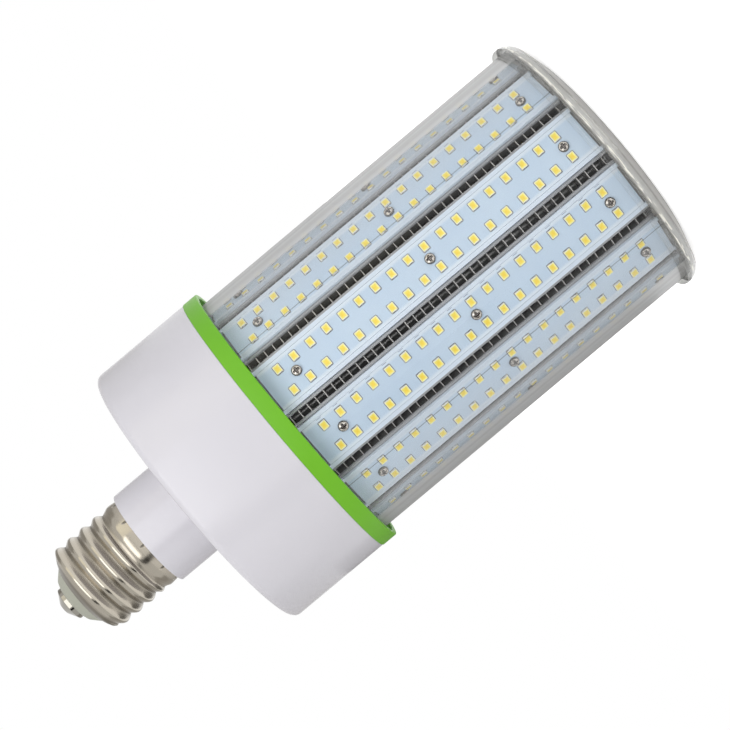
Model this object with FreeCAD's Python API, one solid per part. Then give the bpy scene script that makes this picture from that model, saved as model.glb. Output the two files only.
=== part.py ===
"""Corn lamp with a large Edison screw base: twelve LED boards round an open finned core, in a clear tube.

Millimetres. The lamp stands on its end cap: z = 0 is the cap's outer face, the lamp's axis is Z, and +Z runs
towards the screw base. Slots between the heat sink bars lie at 0, 30, 60 ... degrees.
"""

import FreeCAD
import Part
import math
import os

os.makedirs("parts", exist_ok=True)

# Light engine: boards, LED packages and bars
PANEL_COUNT = 12
LED_PAIRS = 18
LED_PITCH = 7.77
LED_ROW_SPACING = 9.94
LED_WIDTH = 3.5
LED_LENGTH = 2.8
LED_HEIGHT = 0.7
BOARD_WIDTH = 17.0
BOARD_THICKNESS = 1.5
BOARD_END_INSET = 0.8
BOARD_SIDE_GAP = 0.1
LIP_WIDTH = 1.6
WEB_THICKNESS = 1.5
LEG_THICKNESS = 1.5
BAR_DEPTH = 6.0
FIRST_LED_FROM_BAR_END = 10.6
LAST_LED_FROM_BAR_END = 8.5
FINS_PER_LED = 2
FIN_THICKNESS = 0.7
FIN_RIM = 3.4
FIN_OPENING_SIDES = 6

# Board screws, three to a board
SCREW_HEAD_RADIUS = 2.1
SCREW_HEAD_HEIGHT = 1.5
SCREW_HEAD_SIDES = 8
LAST_SCREW_FROM_BAR_END = 13.6
SCREWS_PER_BOARD = 3

# Plates and tie bolts that clamp the bars, and the liner inside them
END_PLATE_THICKNESS = 2.0
END_PLATE_TO_KEY_GAP = 0.5
BASE_PLATE_THICKNESS = 2.5
BASE_PLATE_HOLE_RADIUS = 16.0
BASE_PLATE_GAP = 0.3
TIE_BOLT_COUNT = 3
TIE_BOLT_RADIUS = 2.0
TIE_BOLT_INSET = 5.0
TIE_BOLT_HEAD_FLATS = 7.0
TIE_BOLT_HEAD_HEIGHT = 2.4
TIE_BOLT_HEAD_GAP = 0.6
LINER_THICKNESS = 0.8
LINER_TO_BOLT_GAP = 2.0

# Clear cover: tube and end cap
TUBE_RADIUS = 55.6
TUBE_WALL = 2.0
TUBE_TO_BOARD_GAP = 2.7
CAP_WALL = 2.2
CAP_SIDE_WALL = 2.6
CAP_HEIGHT = 11.2
CAP_FACE_INSET = 13.4
CAP_RIM_RISE = 4.1
CAP_ROUND = 5.6
CAP_LIP_ROUND = 1.9
CAP_RIM_WIDTH = 12.2
CAP_RIM_THICKENING = 2.0
TUBE_SEAT_HEIGHT = 3.2
CAP_KEY_COUNT = 4
CAP_KEY_WIDTH = 3.6
CAP_KEY_DEPTH = 2.4
CAP_KEY_HEIGHT = 7.6
CAP_KEY_FIRST_ANGLE = 60.0

# Green collar ring between the tube and the driver housing
COLLAR_RECESS_WIDTH = 2.7
COLLAR_WALL = 2.2
COLLAR_OVERHANG = 0.2
COLLAR_HEIGHT = 6.5
COLLAR_FLOOR = 3.4
COLLAR_LAND = 4.3
COLLAR_EDGE_ROUND = 0.5

# White driver housing: drum and neck in one moulding
DRUM_HEIGHT = 44.5
DRUM_ROUND = 3.0
HOUSING_WALL = 2.5
NECK_OVER_SKIRT = 1.5
NECK_LENGTH = 24.2
NECK_ROOT_ROUND = 1.0
SLEEVE_LENGTH = 22.0
SLEEVE_WALL = 2.2
SLEEVE_GAP = 0.1

# Screw shell, right-hand thread of the large Edison size
THREAD_CREST_RADIUS = 19.75
THREAD_DEPTH = 1.75
THREAD_PITCH = 6.35
THREAD_CREST_WIDTH = 1.5
THREAD_FOOT_WIDTH = 4.6
SHELL_WALL = 0.6
SKIRT_STEP = 0.25
SKIRT_LENGTH = 6.2
THREADED_LENGTH = 25.0
SHELL_LIP_TURN = 4.3
SHELL_LIP_HEIGHT = 2.8

# Base insulator and contact
INSULATOR_HEIGHT = 4.4
INSULATOR_FLANGE = 2.2
INSULATOR_TAPER = 5.7
INSULATOR_SHOULDER_WIDTH = 2.0
INSULATOR_SHOULDER_DROP = 0.8
INSULATOR_SHOULDER_ROUND = 2.5
CONTACT_INSET = 0.9
CONTACT_RIM = 1.5
CONTACT_RIM_ROUND = 0.5
CONTACT_HEIGHT = 4.5
CONTACT_TIP_RADIUS = 2.2
RIVET_RADIUS = 2.6

# Driver inside the drum
DRIVER_BOARD_TO_WALL = 10.0
DRIVER_BOARD_THICKNESS = 1.6
DRIVER_EDGE_INSET = 2.0
STANDOFF_LENGTH = 8.0
STANDOFF_FLATS = 5.5
STANDOFF_INSET = 5.0
TRANSFORMER_LENGTH = 24.0
TRANSFORMER_WIDTH = 34.0
TRANSFORMER_HEIGHT = 22.0
TRANSFORMER_CORE_WIDTH = 17.0
TRANSFORMER_FLANGE = 3.5
CAPACITOR_RADIUS = 8.0
CAPACITOR_HEIGHT = 30.0
CAPACITOR_GAP = 6.0
CHOKE_RADIUS = 7.5
CHOKE_HEIGHT = 12.0
LEAD_RADIUS = 1.2
NEUTRAL_LEAD_INSET = 5.1
NEUTRAL_BEND_RADIUS = 5.0

# How far a chord of a rounded edge may lie from its arc
ROUNDING_TOLERANCE = 0.3

# Heights along the axis, worked out from the sizes above
PANEL_STEP = 360.0 / PANEL_COUNT
TUBE_START_Z = CAP_WALL + TUBE_SEAT_HEIGHT
END_PLATE_Z = CAP_WALL + TIE_BOLT_HEAD_GAP + TIE_BOLT_HEAD_HEIGHT
BAR_START_Z = END_PLATE_Z + END_PLATE_THICKNESS
FIRST_LED_Z = BAR_START_Z + FIRST_LED_FROM_BAR_END
BAR_END_Z = FIRST_LED_Z + (LED_PAIRS - 1) * LED_PITCH + LAST_LED_FROM_BAR_END
COLLAR_SEAT_Z = BAR_END_Z + BASE_PLATE_THICKNESS
HOUSING_Z = COLLAR_SEAT_Z + COLLAR_FLOOR
COLLAR_TOP_Z = HOUSING_Z - COLLAR_HEIGHT
DRUM_FACE_Z = HOUSING_Z + DRUM_HEIGHT
SHELL_Z = DRUM_FACE_Z + NECK_LENGTH
THREAD_START_Z = SHELL_Z + SKIRT_LENGTH
THREAD_END_Z = THREAD_START_Z + THREADED_LENGTH
SHELL_END_Z = THREAD_END_Z + SHELL_LIP_HEIGHT
FLANGE_END_Z = THREAD_END_Z - SHELL_WALL
FLANGE_Z = FLANGE_END_Z - INSULATOR_FLANGE
INSULATOR_END_Z = SHELL_END_Z + INSULATOR_HEIGHT
DRIVER_BOARD_Z = COLLAR_SEAT_Z + STANDOFF_LENGTH
DRIVER_TOP_Z = DRIVER_BOARD_Z + DRIVER_BOARD_THICKNESS

# Radii and widths worked out from the sizes above
TUBE_BORE_RADIUS = TUBE_RADIUS - TUBE_WALL
BOARD_FACE_APOTHEM = TUBE_BORE_RADIUS - TUBE_TO_BOARD_GAP
BOARD_BACK_APOTHEM = BOARD_FACE_APOTHEM - BOARD_THICKNESS
BAR_BACK_APOTHEM = BOARD_FACE_APOTHEM - BAR_DEPTH
BAR_HALF_WIDTH = BOARD_WIDTH / 2 + BOARD_SIDE_GAP + LIP_WIDTH
FIN_OPENING_RADIUS = BAR_BACK_APOTHEM - FIN_RIM
BASE_PLATE_RADIUS = TUBE_BORE_RADIUS - BASE_PLATE_GAP
END_PLATE_CORNER_RADIUS = TUBE_BORE_RADIUS - CAP_KEY_DEPTH - END_PLATE_TO_KEY_GAP
TIE_BOLT_CIRCLE = FIN_OPENING_RADIUS - TIE_BOLT_INSET
LINER_CORNER_RADIUS = TIE_BOLT_CIRCLE - TIE_BOLT_RADIUS - LINER_TO_BOLT_GAP
COLLAR_RECESS_RADIUS = TUBE_RADIUS + COLLAR_RECESS_WIDTH
COLLAR_RADIUS = COLLAR_RECESS_RADIUS + COLLAR_WALL
DRUM_RADIUS = COLLAR_RADIUS - COLLAR_OVERHANG
DRUM_BORE_RADIUS = DRUM_RADIUS - HOUSING_WALL
THREAD_ROOT_RADIUS = THREAD_CREST_RADIUS - THREAD_DEPTH
SKIRT_RADIUS = THREAD_CREST_RADIUS - SKIRT_STEP
NECK_RADIUS = SKIRT_RADIUS + NECK_OVER_SKIRT
SHELL_BORE_RADIUS = THREAD_ROOT_RADIUS - SHELL_WALL
SHELL_LIP_RADIUS = THREAD_ROOT_RADIUS - SHELL_LIP_TURN
SLEEVE_RADIUS = SHELL_BORE_RADIUS - SLEEVE_GAP
NECK_BORE_RADIUS = SLEEVE_RADIUS - SLEEVE_WALL
INSULATOR_TIP_RADIUS = SHELL_LIP_RADIUS - INSULATOR_TAPER
CONTACT_RADIUS = INSULATOR_TIP_RADIUS - CONTACT_INSET
DRIVER_BOARD_HALF = (DRUM_BORE_RADIUS - DRIVER_BOARD_TO_WALL) / math.sqrt(2)
DRIVER_EDGE = DRIVER_BOARD_HALF - DRIVER_EDGE_INSET

AXIS_START = FreeCAD.Vector(0, 0, 0)
AXIS = FreeCAD.Vector(0, 0, 1)


def rounded_corner(before, corner, after, radius):
    """Points that replace a corner by an arc of the given radius, with its chords near the arc."""
    back = (before - corner).normalize()
    ahead = (after - corner).normalize()
    half_angle = back.getAngle(ahead) / 2
    reach = radius / math.tan(half_angle)
    centre = corner + (back + ahead).normalize() * (radius / math.sin(half_angle))
    sweep = math.pi - 2 * half_angle
    chords = math.ceil(sweep / (2 * math.acos(max(0.0, 1 - ROUNDING_TOLERANCE / radius))))
    start = corner + back * reach - centre
    turn = math.copysign(math.degrees(sweep) / chords, start.cross(corner + ahead * reach - centre).y)
    points = []
    for i in range(chords + 1):
        spoke = FreeCAD.Rotation(FreeCAD.Vector(0, 1, 0), turn * i).multVec(start)
        points.append(centre + spoke)
    return points


def turned(corners):
    """A solid of revolution about the lamp's axis, from corners given as (radius, z) or (radius, z, rounding)."""
    vectors = [FreeCAD.Vector(corner[0], 0, corner[1]) for corner in corners]
    outline = []
    for i, corner in enumerate(corners):
        if len(corner) == 3:
            outline += rounded_corner(vectors[i - 1], vectors[i], vectors[(i + 1) % len(vectors)], corner[2])
        else:
            outline.append(vectors[i])
    face = Part.Face(Part.makePolygon(outline + outline[:1]))
    return face.revolve(AXIS_START, AXIS, 360)


def cylinder(radius, z_start, z_end, x=0.0, y=0.0):
    return Part.makeCylinder(radius, z_end - z_start, FreeCAD.Vector(x, y, z_start), AXIS)


def block(x_start, x_end, y_start, y_end, z_start, z_end):
    corner = FreeCAD.Vector(x_start, y_start, z_start)
    return Part.makeBox(x_end - x_start, y_end - y_start, z_end - z_start, corner)


def prism(points, z_start, z_end):
    """A straight prism over a closed outline in the XY plane."""
    vectors = [FreeCAD.Vector(x, y, z_start) for x, y in points]
    face = Part.Face(Part.makePolygon(vectors + vectors[:1]))
    return face.extrude(AXIS * (z_end - z_start))


def round_the_axis(radius, count, first_angle=0.0):
    """Evenly spaced points on a circle, as (x, y)."""
    angles = [math.radians(first_angle + 360.0 * i / count) for i in range(count)]
    return [(radius * math.cos(a), radius * math.sin(a)) for a in angles]


def polygon_points(count, apothem, first_flat_angle):
    """Corners of a regular polygon whose first flat faces first_flat_angle."""
    half_step = 180.0 / count
    return round_the_axis(apothem / math.cos(math.radians(half_step)), count, first_flat_angle + half_step)


def turned_to(shape, angle):
    """A copy of a shape turned about the lamp's axis."""
    copy = shape.copy()
    copy.rotate(AXIS_START, AXIS, angle)
    return copy


def moved_to(shape, x, y):
    """A copy of a shape moved across the lamp's axis."""
    copy = shape.copy()
    copy.translate(FreeCAD.Vector(x, y, 0))
    return copy


def panel_angle(index):
    """Direction that a panel faces, in degrees."""
    return PANEL_STEP * (index + 0.5)


def make_core_liner():
    """Folded sheet between the plates, inside the tie bolts, with a side for each bar."""
    outer = prism(round_the_axis(LINER_CORNER_RADIUS, PANEL_COUNT), BAR_START_Z, BAR_END_Z)
    inside = round_the_axis(LINER_CORNER_RADIUS - LINER_THICKNESS, PANEL_COUNT)
    return outer.cut(prism(inside, BAR_START_Z, BAR_END_Z))


def make_end_cap():
    """Clear cap with a flat face, a sloping rim that is thicker inside, and a lip round the tube."""
    outer = TUBE_RADIUS + CAP_SIDE_WALL
    rim_inside = outer - CAP_RIM_WIDTH
    cap = turned([
        (0, 0),
        (outer - CAP_FACE_INSET, 0),
        (outer, CAP_RIM_RISE, CAP_ROUND),
        (outer, CAP_HEIGHT, CAP_LIP_ROUND),
        (TUBE_RADIUS, CAP_HEIGHT),
        (TUBE_RADIUS, TUBE_START_Z),
        (TUBE_BORE_RADIUS, TUBE_START_Z),
        (TUBE_BORE_RADIUS, CAP_WALL + CAP_RIM_THICKENING),
        (rim_inside, CAP_WALL + CAP_RIM_THICKENING),
        (rim_inside, CAP_WALL),
        (0, CAP_WALL),
    ])
    key = block(
        TUBE_BORE_RADIUS - CAP_KEY_DEPTH, TUBE_BORE_RADIUS,
        -CAP_KEY_WIDTH / 2, CAP_KEY_WIDTH / 2,
        CAP_WALL, CAP_WALL + CAP_KEY_HEIGHT,
    )
    key = key.common(cylinder(TUBE_BORE_RADIUS, CAP_WALL, CAP_WALL + CAP_KEY_HEIGHT))
    for i in range(CAP_KEY_COUNT):
        cap = cap.fuse(turned_to(key, CAP_KEY_FIRST_ANGLE + 360.0 * i / CAP_KEY_COUNT))
    return cap.removeSplitter()


def make_cover_tube():
    return turned([
        (TUBE_BORE_RADIUS, TUBE_START_Z),
        (TUBE_RADIUS, TUBE_START_Z),
        (TUBE_RADIUS, COLLAR_SEAT_Z),
        (TUBE_BORE_RADIUS, COLLAR_SEAT_Z),
    ])


def make_collar_ring():
    """Ring with a recess round the tube, whose land holds the tube's end and the rim of the base plate."""
    land_radius = BASE_PLATE_RADIUS - COLLAR_LAND
    return turned([
        (COLLAR_RADIUS, COLLAR_TOP_Z, COLLAR_EDGE_ROUND),
        (COLLAR_RADIUS, HOUSING_Z),
        (land_radius, HOUSING_Z),
        (land_radius, COLLAR_SEAT_Z),
        (COLLAR_RECESS_RADIUS, COLLAR_SEAT_Z),
        (COLLAR_RECESS_RADIUS, COLLAR_TOP_Z),
    ])


def make_driver_housing():
    """Drum, neck and the sleeve inside the screw shell, in one moulding."""
    sleeve_end_z = SHELL_Z + SLEEVE_LENGTH
    return turned([
        (DRUM_RADIUS, HOUSING_Z),
        (DRUM_RADIUS, DRUM_FACE_Z, DRUM_ROUND),
        (NECK_RADIUS, DRUM_FACE_Z, NECK_ROOT_ROUND),
        (NECK_RADIUS, SHELL_Z),
        (SLEEVE_RADIUS, SHELL_Z),
        (SLEEVE_RADIUS, sleeve_end_z),
        (NECK_BORE_RADIUS, sleeve_end_z),
        (NECK_BORE_RADIUS, DRUM_FACE_Z - HOUSING_WALL),
        (DRUM_BORE_RADIUS, DRUM_FACE_Z - HOUSING_WALL),
        (DRUM_BORE_RADIUS, HOUSING_Z),
    ])


def make_thread_ridge():
    """Right-hand ridge of the rolled thread, with its foot sunk in the shell's wall."""
    sink = SHELL_WALL / 2
    crest = THREAD_CREST_WIDTH / 2
    flank_run = (THREAD_FOOT_WIDTH / 2 - crest) / THREAD_DEPTH
    sunk_foot = THREAD_FOOT_WIDTH / 2 + sink * flank_run
    start_z = THREAD_START_Z + sunk_foot
    section = [
        FreeCAD.Vector(THREAD_ROOT_RADIUS - sink, 0, start_z - sunk_foot),
        FreeCAD.Vector(THREAD_CREST_RADIUS, 0, start_z - crest),
        FreeCAD.Vector(THREAD_CREST_RADIUS, 0, start_z + crest),
        FreeCAD.Vector(THREAD_ROOT_RADIUS - sink, 0, start_z + sunk_foot),
    ]
    path = Part.makeHelix(THREAD_PITCH, THREADED_LENGTH - 2 * sunk_foot, THREAD_ROOT_RADIUS)
    path.translate(FreeCAD.Vector(0, 0, start_z))
    return path.makePipeShell([Part.makePolygon(section + section[:1])], True, True)


def make_screw_shell():
    shell = turned([
        (SKIRT_RADIUS, SHELL_Z),
        (SKIRT_RADIUS, THREAD_START_Z - SHELL_WALL),
        (THREAD_ROOT_RADIUS, THREAD_START_Z + SHELL_WALL),
        (THREAD_ROOT_RADIUS, THREAD_END_Z),
        (SHELL_LIP_RADIUS, SHELL_END_Z),
        (SHELL_LIP_RADIUS, SHELL_END_Z - SHELL_WALL),
        (SHELL_BORE_RADIUS, THREAD_END_Z - SHELL_WALL),
        (SHELL_BORE_RADIUS, SHELL_Z),
    ])
    return shell.fuse(make_thread_ridge())


def make_base_insulator():
    """Moulded insulator: a flange held inside the shell's turned-in lip, and a bowl outside it."""
    shoulder_radius = INSULATOR_TIP_RADIUS + INSULATOR_SHOULDER_WIDTH
    shoulder_z = INSULATOR_END_Z - INSULATOR_SHOULDER_DROP
    return turned([
        (RIVET_RADIUS, FLANGE_Z),
        (SHELL_BORE_RADIUS, FLANGE_Z),
        (SHELL_BORE_RADIUS, FLANGE_END_Z),
        (SHELL_LIP_RADIUS, SHELL_END_Z - SHELL_WALL),
        (SHELL_LIP_RADIUS, SHELL_END_Z),
        (shoulder_radius, shoulder_z, INSULATOR_SHOULDER_ROUND),
        (INSULATOR_TIP_RADIUS, INSULATOR_END_Z),
        (RIVET_RADIUS, INSULATOR_END_Z),
    ])


def make_contact_button():
    """Centre contact with its rivet, which fills the insulator's bore."""
    return turned([
        (0, FLANGE_Z),
        (RIVET_RADIUS, FLANGE_Z),
        (RIVET_RADIUS, INSULATOR_END_Z),
        (CONTACT_RADIUS, INSULATOR_END_Z),
        (CONTACT_RADIUS, INSULATOR_END_Z + CONTACT_RIM, CONTACT_RIM_ROUND),
        (CONTACT_TIP_RADIUS, INSULATOR_END_Z + CONTACT_HEIGHT),
        (0, INSULATOR_END_Z + CONTACT_HEIGHT),
    ])


def make_heat_sink_bar():
    """Channel bar facing +X: a web, two lips that hold the board's sides, and two legs that stand on the fins."""
    board_side = BAR_HALF_WIDTH - LIP_WIDTH
    leg_inside = BAR_HALF_WIDTH - LEG_THICKNESS
    web_back = BOARD_BACK_APOTHEM - WEB_THICKNESS
    half = [
        (BOARD_BACK_APOTHEM, board_side),
        (BOARD_FACE_APOTHEM, board_side),
        (BOARD_FACE_APOTHEM, BAR_HALF_WIDTH),
        (BAR_BACK_APOTHEM, BAR_HALF_WIDTH),
        (BAR_BACK_APOTHEM, leg_inside),
        (web_back, leg_inside),
    ]
    outline = half + [(x, -y) for x, y in reversed(half)]
    return prism(outline, BAR_START_Z, BAR_END_Z)


def make_led_board():
    half_width = BOARD_WIDTH / 2
    return block(
        BOARD_BACK_APOTHEM, BOARD_FACE_APOTHEM,
        -half_width, half_width,
        BAR_START_Z + BOARD_END_INSET, BAR_END_Z - BOARD_END_INSET,
    )


def make_led_packages():
    """Two rows of surface-mount packages on the board that faces +X."""
    packages = []
    for pair in range(LED_PAIRS):
        z = FIRST_LED_Z + pair * LED_PITCH
        for side in (-1, 1):
            y = side * LED_ROW_SPACING / 2
            packages.append(block(
                BOARD_FACE_APOTHEM, BOARD_FACE_APOTHEM + LED_HEIGHT,
                y - LED_WIDTH / 2, y + LED_WIDTH / 2,
                z - LED_LENGTH / 2, z + LED_LENGTH / 2,
            ))
    return Part.makeCompound(packages)


def make_board_screws():
    """Plain heads of the screws that hold every board, evenly spaced on the board's centre line."""
    span = BAR_END_Z - LAST_SCREW_FROM_BAR_END - FIRST_LED_Z
    rim = polygon_points(SCREW_HEAD_SIDES, SCREW_HEAD_RADIUS, 0)
    head = prism(rim, 0, SCREW_HEAD_HEIGHT)
    head.rotate(AXIS_START, FreeCAD.Vector(0, 1, 0), 90)
    head.translate(FreeCAD.Vector(BOARD_FACE_APOTHEM, 0, FIRST_LED_Z))
    heads = []
    for panel in range(PANEL_COUNT):
        for i in range(SCREWS_PER_BOARD):
            copy = turned_to(head, panel_angle(panel))
            copy.translate(AXIS * (span * i / (SCREWS_PER_BOARD - 1)))
            heads.append(copy)
    return Part.makeCompound(heads)


def make_cooling_fins():
    """Stack of thin ring fins: each flat carries the legs of one bar, and the corners show in the slots."""
    rim = polygon_points(PANEL_COUNT, BAR_BACK_APOTHEM, panel_angle(0))
    opening = round_the_axis(FIN_OPENING_RADIUS, FIN_OPENING_SIDES)
    pitch = LED_PITCH / FINS_PER_LED
    half = FIN_THICKNESS / 2
    below = int((FIRST_LED_Z - half - BAR_START_Z) / pitch)
    above = int((BAR_END_Z - half - FIRST_LED_Z) / pitch)
    fins = []
    for i in range(-below, above + 1):
        z = FIRST_LED_Z + i * pitch
        fins.append(prism(rim, z - half, z + half).cut(prism(opening, z - half, z + half)))
    return Part.makeCompound(fins)


def make_end_plate():
    """Plate on the ends of the bars, with a side for each bar and its corners clear of the cap's keys."""
    plate = prism(round_the_axis(END_PLATE_CORNER_RADIUS, PANEL_COUNT), END_PLATE_Z, BAR_START_Z)
    for x, y in round_the_axis(TIE_BOLT_CIRCLE, TIE_BOLT_COUNT):
        plate = plate.cut(cylinder(TIE_BOLT_RADIUS, END_PLATE_Z, BAR_START_Z, x, y))
    return plate


def make_base_plate():
    """Disc between the bars and the collar, with a hole for the leads."""
    plate = cylinder(BASE_PLATE_RADIUS, BAR_END_Z, COLLAR_SEAT_Z)
    plate = plate.cut(cylinder(BASE_PLATE_HOLE_RADIUS, BAR_END_Z, COLLAR_SEAT_Z))
    for x, y in round_the_axis(TIE_BOLT_CIRCLE, TIE_BOLT_COUNT):
        plate = plate.cut(cylinder(TIE_BOLT_RADIUS, BAR_END_Z, COLLAR_SEAT_Z, x, y))
    return plate


def make_tie_bolts():
    """Long hexagon-headed bolts from the end plate to the threaded base plate."""
    head_start_z = END_PLATE_Z - TIE_BOLT_HEAD_HEIGHT
    head = prism(polygon_points(6, TIE_BOLT_HEAD_FLATS / 2, 0), head_start_z, END_PLATE_Z)
    bolt = head.fuse(cylinder(TIE_BOLT_RADIUS, END_PLATE_Z, COLLAR_SEAT_Z))
    places = round_the_axis(TIE_BOLT_CIRCLE, TIE_BOLT_COUNT)
    return Part.makeCompound([moved_to(bolt, x, y) for x, y in places])


def make_driver_board():
    half = DRIVER_BOARD_HALF
    return block(-half, half, -half, half, DRIVER_BOARD_Z, DRIVER_TOP_Z)


def make_driver_standoffs():
    """Hexagonal pillars between the base plate and the corners of the driver board."""
    standoff = prism(polygon_points(6, STANDOFF_FLATS / 2, 0), COLLAR_SEAT_Z, DRIVER_BOARD_Z)
    reach = DRIVER_BOARD_HALF - STANDOFF_INSET
    return Part.makeCompound([
        moved_to(standoff, side_x * reach, side_y * reach) for side_x in (-1, 1) for side_y in (-1, 1)
    ])


def make_driver_transformer():
    """Ferrite core with its coil standing out on both sides."""
    x_end = TRANSFORMER_LENGTH - DRIVER_EDGE
    core = block(
        -DRIVER_EDGE, x_end,
        -TRANSFORMER_CORE_WIDTH / 2, TRANSFORMER_CORE_WIDTH / 2,
        DRIVER_TOP_Z, DRIVER_TOP_Z + TRANSFORMER_HEIGHT,
    )
    coil = block(
        TRANSFORMER_FLANGE - DRIVER_EDGE, x_end - TRANSFORMER_FLANGE,
        -TRANSFORMER_WIDTH / 2, TRANSFORMER_WIDTH / 2,
        DRIVER_TOP_Z + TRANSFORMER_FLANGE, DRIVER_TOP_Z + TRANSFORMER_HEIGHT - TRANSFORMER_FLANGE,
    )
    return core.fuse(coil).removeSplitter()


def make_driver_capacitors():
    x = DRIVER_EDGE - CAPACITOR_RADIUS
    y = CAPACITOR_RADIUS + CAPACITOR_GAP / 2
    can = cylinder(CAPACITOR_RADIUS, DRIVER_TOP_Z, DRIVER_TOP_Z + CAPACITOR_HEIGHT)
    return Part.makeCompound([moved_to(can, x, -y), moved_to(can, x, y)])


def make_driver_choke():
    y = DRIVER_EDGE - CHOKE_RADIUS
    return cylinder(CHOKE_RADIUS, DRIVER_TOP_Z, DRIVER_TOP_Z + CHOKE_HEIGHT, 0, y)


def make_live_lead():
    """Straight lead on the axis, from the driver board to the rivet of the centre contact."""
    return cylinder(LEAD_RADIUS, DRIVER_TOP_Z, FLANGE_Z)


def make_neutral_lead():
    """Lead up the neck that bends outwards past the sleeve and ends on the shell's bore."""
    offset = NECK_BORE_RADIUS - NEUTRAL_LEAD_INSET
    run_z = (SHELL_Z + SLEEVE_LENGTH + FLANGE_Z) / 2
    bend = NEUTRAL_BEND_RADIUS
    half_turn = math.radians(45)
    board_end = FreeCAD.Vector(0, -offset, DRIVER_TOP_Z)
    bend_start = FreeCAD.Vector(0, -offset, run_z - bend)
    bend_middle = FreeCAD.Vector(
        0, -offset - bend * (1 - math.cos(half_turn)), run_z - bend * (1 - math.sin(half_turn))
    )
    bend_end = FreeCAD.Vector(0, -offset - bend, run_z)
    shell_end = FreeCAD.Vector(0, -SHELL_BORE_RADIUS - LEAD_RADIUS, run_z)
    path = Part.Wire([
        Part.LineSegment(board_end, bend_start).toShape(),
        Part.Arc(bend_start, bend_middle, bend_end).toShape(),
        Part.LineSegment(bend_end, shell_end).toShape(),
    ])
    section = Part.Wire([Part.makeCircle(LEAD_RADIUS, board_end, AXIS)])
    lead = path.makePipeShell([section], True, True)
    return lead.common(cylinder(SHELL_BORE_RADIUS, DRIVER_TOP_Z, FLANGE_Z))


def save(name, shape):
    shape.exportStep(os.path.join("parts", name + ".step"))


def main():
    single_pieces = {
        "end_cap": make_end_cap(),
        "core_liner": make_core_liner(),
        "cover_tube": make_cover_tube(),
        "collar_ring": make_collar_ring(),
        "driver_housing": make_driver_housing(),
        "screw_shell": make_screw_shell(),
        "base_insulator": make_base_insulator(),
        "contact_button": make_contact_button(),
        "end_plate": make_end_plate(),
        "base_plate": make_base_plate(),
        "tie_bolts": make_tie_bolts(),
        "cooling_fins": make_cooling_fins(),
        "board_screws": make_board_screws(),
        "driver_board": make_driver_board(),
        "driver_standoffs": make_driver_standoffs(),
        "driver_transformer": make_driver_transformer(),
        "driver_capacitors": make_driver_capacitors(),
        "driver_choke": make_driver_choke(),
        "live_lead": make_live_lead(),
        "neutral_lead": make_neutral_lead(),
    }
    for name, shape in single_pieces.items():
        save(name, shape)
    panel_pieces = {
        "heat_sink_bar": make_heat_sink_bar(),
        "led_board": make_led_board(),
        "led_packages": make_led_packages(),
    }
    for name, shape in panel_pieces.items():
        for panel in range(PANEL_COUNT):
            save(f"{name}_{panel + 1:02d}", turned_to(shape, panel_angle(panel)))


main()
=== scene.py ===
"""Looks of a corn lamp with a large screw base: clear cover, lit boards, fins, drum and screw shell."""

import bpy
import bmesh
import math
from mathutils import Matrix, Vector


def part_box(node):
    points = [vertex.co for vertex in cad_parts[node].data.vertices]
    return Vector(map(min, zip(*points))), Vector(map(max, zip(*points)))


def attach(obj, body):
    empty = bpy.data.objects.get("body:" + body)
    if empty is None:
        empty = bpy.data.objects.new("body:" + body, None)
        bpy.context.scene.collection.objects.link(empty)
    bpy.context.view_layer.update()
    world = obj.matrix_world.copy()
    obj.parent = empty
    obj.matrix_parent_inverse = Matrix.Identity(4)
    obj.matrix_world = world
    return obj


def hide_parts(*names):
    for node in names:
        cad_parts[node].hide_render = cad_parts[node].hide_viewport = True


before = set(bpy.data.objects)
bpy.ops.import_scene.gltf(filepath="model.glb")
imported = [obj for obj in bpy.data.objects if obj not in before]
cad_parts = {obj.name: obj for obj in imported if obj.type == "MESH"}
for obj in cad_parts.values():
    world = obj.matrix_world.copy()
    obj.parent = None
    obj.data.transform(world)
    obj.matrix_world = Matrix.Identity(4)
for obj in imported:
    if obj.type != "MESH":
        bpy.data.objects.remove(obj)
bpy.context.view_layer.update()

MM = 0.001
BODY = "root"

# Boards and their packages
PANELS = 12
LED_PAIRS = 18
LED_PITCH = 7.77 * MM
LED_ROW_SPACING = 9.94 * MM
LED_HALF_WIDTH = 1.75 * MM
LED_HALF_LENGTH = 1.4 * MM
LED_CORNER = 0.35 * MM
LED_FOOT_SHARE = 1.18
FIRST_LED_ABOVE_BAR_START = 10.6 * MM
TUBE_TO_BOARD_GAP = 2.7 * MM
BOARD_EDGE_HIGHLIGHT_START = 6.6 * MM
BOARD_EDGE_HIGHLIGHT_END = 8.0 * MM
DASH_OFFSET = 8.1 * MM
DASH_HALF_WIDTH = 0.09 * MM
DASH_HALF_LENGTH = 1.1 * MM
DASH_THICKNESS = 0.03 * MM

# Screws of the boards
SCREWS_PER_BOARD = 3
LAST_SCREW_BELOW_BAR_END = 13.6 * MM
SCREW_RADIUS = 2.05 * MM
SCREW_HEIGHT = 1.5 * MM
SCREW_RECESS_DEPTH = 0.75 * MM

# Bars, and the fins and the liner behind them
BAR_HALF_WIDTH = 10.2 * MM
BAR_DEPTH = 6.0 * MM
SIDE_LIP_WIDTH = 1.25 * MM
SIDE_LIP_DEPTH = 1.3 * MM
SIDE_LIP_INSET = 1.1 * MM
SIDE_LIP_ROUNDING = 0.4 * MM
FIN_THICKNESS = 0.7 * MM
FIN_PITCH = LED_PITCH / 2
FIN_TAB_THICKNESS = 0.32 * MM
FIN_TAB_INSET = 0.8 * MM
FIN_TAB_ROOT = 0.4 * MM
FIN_TAB_GAP = 0.05 * MM
LINER_MESH_AROUND = 260.0
LINER_MESH_PITCH = 0.9 * MM

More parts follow.
